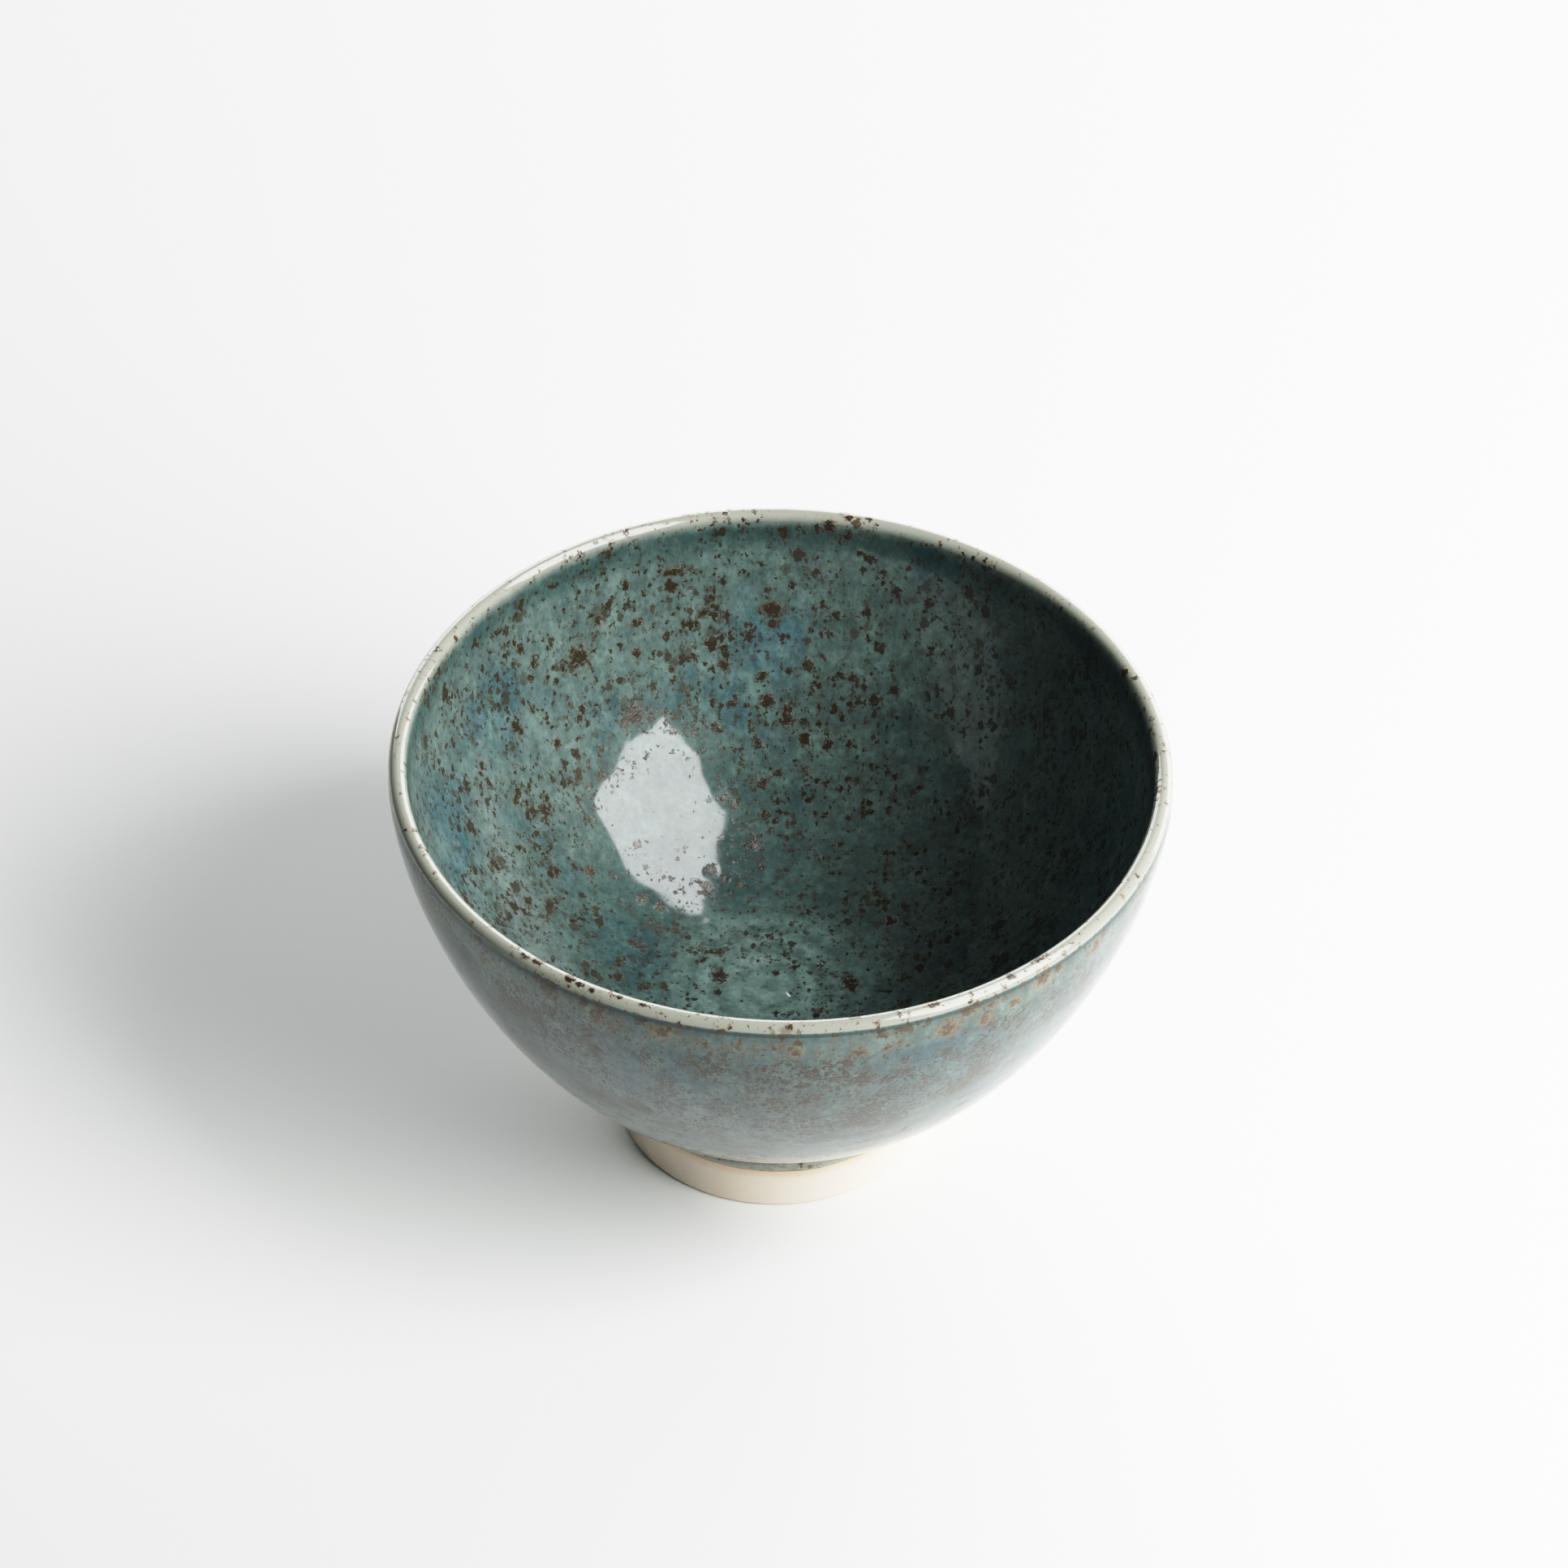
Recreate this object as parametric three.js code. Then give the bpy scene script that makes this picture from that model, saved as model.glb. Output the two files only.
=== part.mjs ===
// A wheel-thrown tea bowl: a clay bowl luted onto a turned foot ring, under three coats of fired glaze.
// Millimetres, +Z up. The origin is the middle of the foot, on the table.
import * as THREE from 'three';

// Finished bowl, glaze included
const RIM_DIAMETER = 120; // across the outside of the lip
const HEIGHT = 73.7; // table to the top of the lip
const LIP_THICKNESS = 2.8; // across the rounded lip

// Turned foot ring, bare clay
const FOOT_DIAMETER = 50.3; // outside of the ring
const FOOT_HEIGHT = 15.1; // table to the seam under the bowl
const FOOT_WALL = 5.4; // width of the ring where it stands
const RECESS_TAPER = 1.5; // how much the recess draws in from the table to its ceiling, at each side
const FOOT_EDGE = 0.8; // round on the two edges that meet the table
const COVE_RADIUS = 2.1; // hollow round where the foot turns out into the belly

// Thrown clay bowl
const FLOOR_THICKNESS = 7; // clay between the recess and the inside floor
const SPRING_ANGLE = 26; // degrees above level at which the belly leaves the foot
const SPRING_PULL = 22.7; // how strongly the belly keeps that direction
const LIP_PULL = 13.8; // how strongly the wall stays plumb below the lip
const TURN_RISE = 9; // height above the seam, on the outside, where the inside wall turns into the floor
const WALL_AT_TURN = 6; // clay wall there
const WALL_SWELL = 3; // power by which the wall thickens on its way down from the lip

// Fired glaze
const WALL_COAT = 0.55; // poured coat inside and dipped coat outside
const RIM_COAT = 0.45; // over the lip, where the glaze runs thin
const BOND = 0.1; // gap that keeps each piece apart from the clay it is fired onto
const RIM_BAND_OUTSIDE = 2; // top of the lip down to the lower edge of the rim coat, outside
const RIM_BAND_INSIDE = 1.8; // the same, inside
const GLAZE_LINE = 7.6; // table to the lower edge of the outside coat
const EDGE_COAT = 0.2; // outside coat at that edge
const BEAD_HEIGHT = 2.6; // height of the bead that gathers above that edge
const BEAD_SWELL = 0.15; // how far the bead stands out past the coat

// Facets
const SEGMENTS = 56; // round the bowl
const BELLY_SPANS = 11;
const WALL_SPANS = 8;
const FLOOR_SPANS = 6;
const LIP_SPANS = 6;
const COVE_SPANS = 3;
const BEAD_SPANS = 4;
const EDGE_SPANS = 2;
const BISECTIONS = 40;

// Profiles are drawn as (radius, height) from the glaze line on the foot, up the outside, over the lip
// and down the inside to the middle of the floor, so the way out of the clay is always on the right.
const spring = THREE.MathUtils.degToRad(SPRING_ANGLE);
const footRadius = FOOT_DIAMETER / 2;
const lipRadius = LIP_THICKNESS / 2 - RIM_COAT - BOND;
const lipCentre = new THREE.Vector2((RIM_DIAMETER - LIP_THICKNESS) / 2, HEIGHT - LIP_THICKNESS / 2);
const floorHeight = FOOT_HEIGHT + BOND + FLOOR_THICKNESS;

// Outside of the foot: a plumb wall, then a cove that turns out into the belly
const coveTurn = Math.PI / 2 - spring;
const coveCentre = new THREE.Vector2(
  footRadius + COVE_RADIUS,
  FOOT_HEIGHT - COVE_RADIUS * Math.sin(coveTurn),
);
const cove = new THREE.EllipseCurve(
  coveCentre.x, coveCentre.y, COVE_RADIUS, COVE_RADIUS, Math.PI, Math.PI - coveTurn, true,
);
const beadTop = new THREE.Vector2(footRadius, GLAZE_LINE + BEAD_HEIGHT);
const bead = new THREE.LineCurve(new THREE.Vector2(footRadius, GLAZE_LINE), beadTop);
const footWall = new THREE.LineCurve(beadTop, new THREE.Vector2(footRadius, coveCentre.y));

// Outside of the bowl, from the seam to the lip
const seam = new THREE.Vector2(coveCentre.x - COVE_RADIUS * Math.cos(coveTurn), FOOT_HEIGHT);
const lipOutside = new THREE.Vector2(lipCentre.x + lipRadius, lipCentre.y);
const belly = new THREE.CubicBezierCurve(
  seam,
  new THREE.Vector2(seam.x + SPRING_PULL * Math.cos(spring), seam.y + SPRING_PULL * Math.sin(spring)),
  new THREE.Vector2(lipOutside.x, lipOutside.y - LIP_PULL),
  lipOutside,
);
const lip = new THREE.EllipseCurve(lipCentre.x, lipCentre.y, lipRadius, lipRadius, 0, Math.PI, false);

// Inside wall: the belly curve set in by a wall that thickens on its way down from the lip
class InsideWall extends THREE.Curve {
  constructor(outside, turn) {
    super();
    this.outside = outside;
    this.turn = turn;
  }

  getPoint(share, target = new THREE.Vector2()) {
    const onOutside = THREE.MathUtils.lerp(1, this.turn, share);
    const along = this.outside.getTangent(onOutside);
    const thickness = THREE.MathUtils.lerp(2 * lipRadius, WALL_AT_TURN, share ** WALL_SWELL);
    const point = this.outside.getPoint(onOutside);
    return target.set(point.x - thickness * along.y, point.y + thickness * along.x);
  }
}

// Share of a steadily rising or falling curve at which it passes a height
function shareAtHeight(curve, height) {
  const rising = curve.getPoint(1).y > curve.getPoint(0).y;
  let low = 0;
  let high = 1;
  for (let i = 0; i < BISECTIONS; i += 1) {
    const middle = (low + high) / 2;
    const below = curve.getPoint(middle).y < height;
    if (below === rising) {
      low = middle;
    } else {
      high = middle;
    }
  }
  return (low + high) / 2;
}

// Inside floor: level at the middle, and running into the wall with no break
const wall = new InsideWall(belly, shareAtHeight(belly, FOOT_HEIGHT + TURN_RISE));
const wallFoot = wall.getPoint(1);
const wallSlope = wall.getTangent(1);
const floorRun = ((floorHeight - wallFoot.y) * wallSlope.x) / wallSlope.y;
const floor = new THREE.QuadraticBezierCurve(
  wallFoot,
  new THREE.Vector2(wallFoot.x + floorRun, floorHeight),
  new THREE.Vector2(0, floorHeight),
);

// Stations along part of a curve: a point on the clay, and the way out of the clay there
function stations(curve, from, to, spans) {
  const list = [];
  for (let i = 0; i <= spans; i += 1) {
    const share = THREE.MathUtils.lerp(from, to, i / spans);
    const point = curve.getPoint(share);
    const along = curve.getTangent(share);
    const out = point.x === 0 ? new THREE.Vector2(0, 1) : new THREE.Vector2(along.y, -along.x);
    list.push({ point, out });
  }
  return list;
}

// Runs of stations end to end, with each shared station kept once
function join(...runs) {
  return runs.flatMap((run, i) => run.slice(i === 0 ? 0 : 1));
}

function offset(station, distance) {
  return station.point.clone().addScaledVector(station.out, distance);
}

// Stations under each coat, with a bond gap between the edges of neighbouring coats
const coveRun = stations(cove, 0, 1, COVE_SPANS);
const rimOutside = HEIGHT - RIM_BAND_OUTSIDE;
const rimInside = HEIGHT - RIM_BAND_INSIDE;
const bellyRun = stations(belly, 0, shareAtHeight(belly, rimOutside - BOND), BELLY_SPANS);
const outsideRun = join(stations(bead, 0, 1, BEAD_SPANS), stations(footWall, 0, 1, 1), coveRun, bellyRun);
const rimRun = join(
  stations(belly, shareAtHeight(belly, rimOutside), 1, 1),
  stations(lip, 0, 1, LIP_SPANS),
  stations(wall, 0, shareAtHeight(wall, rimInside), 1),
);
const insideRun = join(
  stations(wall, shareAtHeight(wall, rimInside - BOND), 1, WALL_SPANS),
  stations(floor, 0, 1, FLOOR_SPANS),
);

// A solid of revolution about +Z. A profile that doesn't start on the axis is closed on itself.
function turned(name, profile, material) {
  const points = profile[0].x === 0 ? profile : [...profile, profile[0]];
  const geometry = new THREE.LatheGeometry(points, SEGMENTS).rotateX(Math.PI / 2);
  const mesh = new THREE.Mesh(geometry, material);
  mesh.name = name;
  return mesh;
}

// A coat of glaze: out along its back from one end, then home along its face
function glazeCoat(name, run, thicknessAt, material) {
  const back = run.map((station) => offset(station, BOND)).reverse();
  const face = run.map((station) => offset(station, BOND + thicknessAt(station)));
  return turned(name, [...back, ...face], material);
}

// Outside coat: thin at the glaze line, gathered into a bead just above it, then even
function outsideThickness(station) {
  const rise = Math.min((station.point.y - GLAZE_LINE) / BEAD_HEIGHT, 1);
  const swell = BEAD_SWELL * Math.sin(Math.PI * rise);
  return THREE.MathUtils.lerp(EDGE_COAT, WALL_COAT, Math.sin((Math.PI / 2) * rise)) + swell;
}

function clayBowl(material) {
  const skin = [...bellyRun.slice(1), ...rimRun, ...insideRun].map((station) => station.point);
  const base = FOOT_HEIGHT + BOND;
  const underside = [new THREE.Vector2(0, base), new THREE.Vector2(seam.x, base)];
  return turned('clay_bowl', [...underside, ...skin], material);
}

function footRing(material) {
  const recessRadius = footRadius - FOOT_WALL;
  const outerEdge = new THREE.EllipseCurve(
    footRadius - FOOT_EDGE, FOOT_EDGE, FOOT_EDGE, FOOT_EDGE, -Math.PI / 2, 0, false,
  );
  const innerEdge = new THREE.EllipseCurve(
    recessRadius + FOOT_EDGE, FOOT_EDGE, FOOT_EDGE, FOOT_EDGE, Math.PI, 1.5 * Math.PI, false,
  );
  const profile = [
    ...outerEdge.getPoints(EDGE_SPANS),
    ...coveRun.map((station) => station.point),
    new THREE.Vector2(recessRadius - RECESS_TAPER, FOOT_HEIGHT),
    ...innerEdge.getPoints(EDGE_SPANS),
  ];
  return turned('foot_ring', profile, material);
}

function finish(color, roughness) {
  return new THREE.MeshStandardMaterial({ color, roughness, metalness: 0 });
}

const teaBowl = new THREE.Group();
teaBowl.add(
  clayBowl(finish('#e3d2bf', 0.85)),
  footRing(finish('#ead9c6', 0.85)),
  glazeCoat('outside_glaze', outsideRun, outsideThickness, finish('#7d9796', 0.2)),
  glazeCoat('rim_glaze', rimRun, () => RIM_COAT, finish('#c2c6bb', 0.2)),
  glazeCoat('inside_glaze', insideRun, () => WALL_COAT, finish('#4f7475', 0.15)),
);

export default teaBowl;
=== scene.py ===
from collections import namedtuple
from functools import partial

import bpy
import numpy as np
from bpy.props import FloatProperty, FloatVectorProperty, PointerProperty
from mathutils import Matrix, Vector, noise


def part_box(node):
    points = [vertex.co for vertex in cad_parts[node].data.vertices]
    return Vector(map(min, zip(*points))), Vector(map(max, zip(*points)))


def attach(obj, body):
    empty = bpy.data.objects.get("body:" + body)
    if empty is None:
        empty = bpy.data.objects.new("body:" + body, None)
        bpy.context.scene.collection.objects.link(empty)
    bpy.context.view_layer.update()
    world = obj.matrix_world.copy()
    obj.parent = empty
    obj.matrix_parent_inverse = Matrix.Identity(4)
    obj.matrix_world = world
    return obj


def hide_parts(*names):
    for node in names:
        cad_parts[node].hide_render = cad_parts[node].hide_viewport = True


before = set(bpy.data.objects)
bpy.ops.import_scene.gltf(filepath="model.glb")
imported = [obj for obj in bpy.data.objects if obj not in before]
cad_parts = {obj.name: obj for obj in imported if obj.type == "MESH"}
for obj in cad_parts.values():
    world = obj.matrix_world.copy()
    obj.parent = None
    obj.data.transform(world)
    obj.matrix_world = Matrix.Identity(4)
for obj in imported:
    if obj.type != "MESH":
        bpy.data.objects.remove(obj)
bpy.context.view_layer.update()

bl_info = {
    "name": "Tea bowl",
    "version": (1, 0, 0),
    "blender": (4, 5, 0),
    "location": "3D View > Sidebar > Tea bowl",
    "description": "A wheel-thrown tea bowl in a speckled blue-green glaze, on a bare turned foot ring",
    "category": "Add Mesh",
}

# Shape of the thrown section, in millimetres and degrees, as in the part's source
SPRING_ANGLE = 26  # above level, where the belly leaves the foot
SPRING_PULL = 22.7  # how strongly the belly keeps that direction
LIP_PULL = 13.8  # how strongly the wall stays plumb below the lip
TURN_RISE = 9  # height above the seam, outside, where the inside wall turns into the floor
WALL_AT_TURN = 6  # clay wall there
WALL_SWELL = 3  # power by which the wall thickens on its way down
COVE_RADIUS = 2.1  # hollow round where the foot turns out into the belly
RECESS_TAPER = 1.5  # how much the recess draws in from the table to its ceiling
FOOT_EDGE = 0.6  # round on the edges that meet the table
RIM_COAT = 0.45  # glaze over the lip
BOND = 0.1  # gap between a coat and the clay
RIM_BAND_OUTSIDE = 2.0  # top of the lip down to the edge of the rim coat
RIM_BAND_INSIDE = 1.8
BEAD_HEIGHT = 2.6  # roll of glaze above the glaze line
BEAD_SWELL = 0.1
LIP_HEIGHT = 73.7  # where the unevenness of the thrown wall is greatest
LIP_REACH = 2.8  # drop within which the lip's thin glaze has only small marks
TOOL_BUTTON = 0.25  # height of the button at the middle of the recess

# Mesh fineness
COLUMNS = 720  # vertices round the widest rings
ROW = 0.5  # millimetres between rings of a face that shows
HIDDEN_ROW = 3.0  # and of one that doesn't

MARK_COUNT = 420  # iron marks in all
MARK_SEED = 11

FIELDS = ("drop", "iron", "rust", "bloom", "calm")
Ring = namedtuple("Ring", ("points", *FIELDS, "share", "crease"))
Mark = namedtuple("Mark", "azimuth drop across down tail rust")
Patch = namedtuple("Patch", "azimuth drop size share", defaults=(1.0,))


def linear(code):
    """An sRGB hex colour as linear red, green and blue."""
    parts = (int(code[i : i + 2], 16) / 255 for i in (1, 3, 5))
    return tuple(p / 12.92 if p <= 0.04045 else ((p + 0.055) / 1.055) ** 2.4 for p in parts)


def smooth(low, high, value):
    """0 below low, 1 above high, and an even S between them."""
    share = np.clip((value - low) / (high - low), 0, 1)
    return share * share * (3 - 2 * share)


def grain(points, size):
    """Soft noise from -1 to 1 whose lumps are about size millimetres across."""
    return np.array([noise.noise(p) for p in (points / size).tolist()])


# Sizes and colours


def span(piece, axis):
    low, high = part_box(piece)
    return high[axis] - low[axis]


def length(name, description, default):
    return FloatProperty(name=name, description=description, default=default, min=0.0001, unit="LENGTH")


def colour(name, description, code):
    return FloatVectorProperty(
        name=name, description=description, default=linear(code), min=0, max=1, size=3, subtype="COLOR"
    )


class TeaBowlForm(bpy.types.PropertyGroup):
    """Sizes of the finished bowl, glaze included"""

    rim_diameter: length("Rim diameter", "Across the outside of the lip", span("rim_glaze", 0))
    height: length("Height", "Table to the top of the lip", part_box("rim_glaze")[1][2])
    lip_thickness: length("Lip thickness", "Across the rounded lip", 0.0028)
    foot_diameter: length("Foot diameter", "Outside of the foot ring", 0.0503)
    foot_height: length("Foot height", "Table to the seam under the bowl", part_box("foot_ring")[1][2])
    foot_wall: length("Foot width", "Width of the foot ring where it stands", 0.0054)
    floor_thickness: length("Floor thickness", "Clay between the recess and the inside floor", 0.007)
    glaze_thickness: length("Glaze thickness", "Coat on the walls, inside and outside", 0.00055)
    glaze_line: length("Glaze line", "Table to the lower edge of the outside coat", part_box("outside_glaze")[0][2])


class TeaBowlColours(bpy.types.PropertyGroup):
    """Colours of the fired glaze and the clay"""

    green: colour("Glaze", "Grey-green body of the glaze", "#566461")
    # Also the colour of the painted shade, a cool tint over the shaded right wall and floor
    blue: colour("Glaze, blue", "Slate blue where the glaze is thicker", "#3e5961")
    pale: colour("Glaze, pale", "Where the glaze is thin or clouded", "#697c76")
    # Painted light and a painted reflection: the paler middle of the floor, and pale curves over the rings there
    floor_sheen: colour("Glaze, milky", "Where it is clouded at the middle of the floor", "#8b9f99")
    deep: colour("Glaze, pooled", "Where the glaze has pooled", "#1f3a3b")
    lip: colour("Lip", "Thin glaze over the lip", "#97998e")
    iron: colour("Iron", "Core of an iron speck", "#362f26")
    rust: colour("Rust", "Stain round an iron speck", "#544938")
    tan: colour("Rust, thin", "The same where the glaze is thin, at the lip", "#7f6442")
    haze: colour("Iron haze", "Iron that lies deep in the outside coat", "#322d27")
    clay: colour("Clay", "Bare fired clay", "#e2d5c4")
    blush: colour("Clay, blush", "Warm flash on the clay beside the glaze", "#cfb294")


class TeaBowlStage(bpy.types.PropertyGroup):
    """Light and paper of the studio"""

    softbox: FloatProperty(name="Softbox", description="Power of the softbox in watts", default=16.4, min=0)
    board: FloatProperty(name="Board", description="Power of the lit board in watts", default=29, min=0)
    window: FloatProperty(name="Window", description="Radiance of the mirrored softbox", default=9, min=0)
    room: FloatProperty(name="Room", description="Radiance of the dim room", default=0.1, min=0)
    paper: colour("Paper", "White paper that the bowl stands on", "#e7e8e6")


def own_names(group):
    """Names of the properties that a group adds."""
    return [name for name in group.bl_rna.properties.keys() if name not in ("rna_type", "name")]


# The thrown section


def bezier(points, count):
    """Points along a Bezier curve through its first and last control point."""
    share = np.linspace(0, 1, count)[:, None]
    rows = [np.asarray(p, float) + 0 * share for p in points]
    while len(rows) > 1:
        rows = [a + (b - a) * share for a, b in zip(rows, rows[1:])]
    return rows[0]


def arc(centre, radius, start, end, count):
    angle = np.radians(np.linspace(start, end, count))
    return np.asarray(centre) + radius * np.stack([np.cos(angle), np.sin(angle)], 1)


def headings(points):
    along = np.gradient(points, axis=0)
    return along / np.linalg.norm(along, axis=1)[:, None]


class Section:
    """The clay's outline in millimetres, from the foot up the outside, over the lip and down to the floor's middle.

    Places on it are named by drop: the way down the finished glaze from the top of the lip, negative outside.
    """

    def __init__(self, form):
        mm = {name: 1000 * getattr(form, name) for name in own_names(form)}
        self.mm = mm
        self.foot_radius = mm["foot_diameter"] / 2
        lip_radius = mm["lip_thickness"] / 2 - RIM_COAT - BOND
        lip_centre = np.array([mm["rim_diameter"] - mm["lip_thickness"], 2 * mm["height"] - mm["lip_thickness"]]) / 2
        spring = np.radians(SPRING_ANGLE)
        turn = np.pi / 2 - spring
        cove_centre = np.array([self.foot_radius + COVE_RADIUS, mm["foot_height"] - COVE_RADIUS * np.sin(turn)])
        cove = arc(cove_centre, COVE_RADIUS, 180, 180 - np.degrees(turn), 60)
        foot = np.stack([np.full(120, self.foot_radius), np.linspace(1, cove_centre[1], 120)], 1)
        seam = cove[-1]
        outer = lip_centre + [lip_radius, 0]
        pull = SPRING_PULL * np.array([np.cos(spring), np.sin(spring)])
        belly = bezier([seam, seam + pull, outer - [0, LIP_PULL], outer], 900)
        lip = arc(lip_centre, lip_radius, 0, 180, 120)
        shares = np.linspace(0, 1, 900)
        turn_share = np.interp(mm["foot_height"] + TURN_RISE, belly[:, 1], shares)
        at = 1 + (turn_share - 1) * shares
        wall = 2 * lip_radius + (WALL_AT_TURN - 2 * lip_radius) * shares**WALL_SWELL
        along = headings(belly)
        inside = np.stack(
            [
                np.interp(at, shares, belly[:, 0]) - wall * np.interp(at, shares, along[:, 1]),
                np.interp(at, shares, belly[:, 1]) + wall * np.interp(at, shares, along[:, 0]),
            ],
            1,
        )
        level = mm["foot_height"] + BOND + mm["floor_thickness"]
        fall = inside[-1] - inside[-2]
        corner = [inside[-1][0] + (level - inside[-1][1]) * fall[0] / fall[1], level]
        floor = bezier([inside[-1], corner, [0, level]], 600)
        points = np.concatenate([foot, cove[1:], belly[1:], lip[1:], inside[1:], floor[1:]])
        along = headings(points)
        self.points = points
        self.out = np.stack([along[:, 1], -along[:, 0]], 1)
        self.out[-1] = [0, 1]
        face = points + self.out * (BOND + mm["glaze_thickness"])
        way = np.concatenate([[0], np.cumsum(np.linalg.norm(np.diff(face, axis=0), axis=1))])
        self.top = int(np.argmax(points[:, 1]))
        self.drop = way - way[self.top]
        self.seam_drop = self.drop[int(np.argmin(np.linalg.norm(points - seam, axis=1)))]
        self.bead_drop = self.drop_at(mm["glaze_line"] + BEAD_HEIGHT, outside=True)
        self.rim_outside = self.drop_at(mm["height"] - RIM_BAND_OUTSIDE, outside=True)
        self.rim_inside = self.drop_at(mm["height"] - RIM_BAND_INSIDE, outside=False)

    def drop_at(self, height, outside):
        half = slice(0, self.top + 1) if outside else slice(self.top, None)
        heights, drops = self.points[half, 1], self.drop[half]
        if not outside:
            heights, drops = heights[::-1], drops[::-1]
        return float(np.interp(height, heights, drops))

    def at(self, drop):
        """Clay radius and height at a drop, and the way out of the clay there."""
        both = np.concatenate([self.points, self.out], 1)
        radius, height, out_r, out_z = (float(np.interp(drop, self.drop, both[:, i])) for i in range(4))
        size = np.hypot(out_r, out_z)
        return radius, height, out_r / size, out_z / size

    def coat(self, drop):
        """Glaze at a drop: even on the walls, thinner over the lip, with a shallow groove just outside the lip."""
        wall = self.mm["glaze_thickness"]
        thin = 1 - smooth(2.0, 4.2, abs(drop))
        groove = 0.05 * np.exp(-(((drop + 2.5) / 0.5) ** 2))
        return wall + (RIM_COAT - wall) * thin - groove


def thrown(points):
    """Points moved by the slight unevenness of a hand-thrown wall, alike for every piece."""
    angle = np.arctan2(points[:, 1], points[:, 0])
    radius = np.hypot(points[:, 0], points[:, 1])
    up = np.clip(points[:, 2] / LIP_HEIGHT, 0, 1) ** 2
    out = up * (0.09 * np.cos(2 * angle + 0.8) + 0.05 * np.cos(3 * angle + 2.1))
    lift = up * up * (0.06 * np.cos(2 * angle + 1.9) + 0.05 * np.cos(3 * angle))
    scale = 1 + np.divide(out, radius, out=np.zeros_like(out), where=radius > 5)
    return np.stack([points[:, 0] * scale, points[:, 1] * scale, points[:, 2] + lift], 1)


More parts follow.
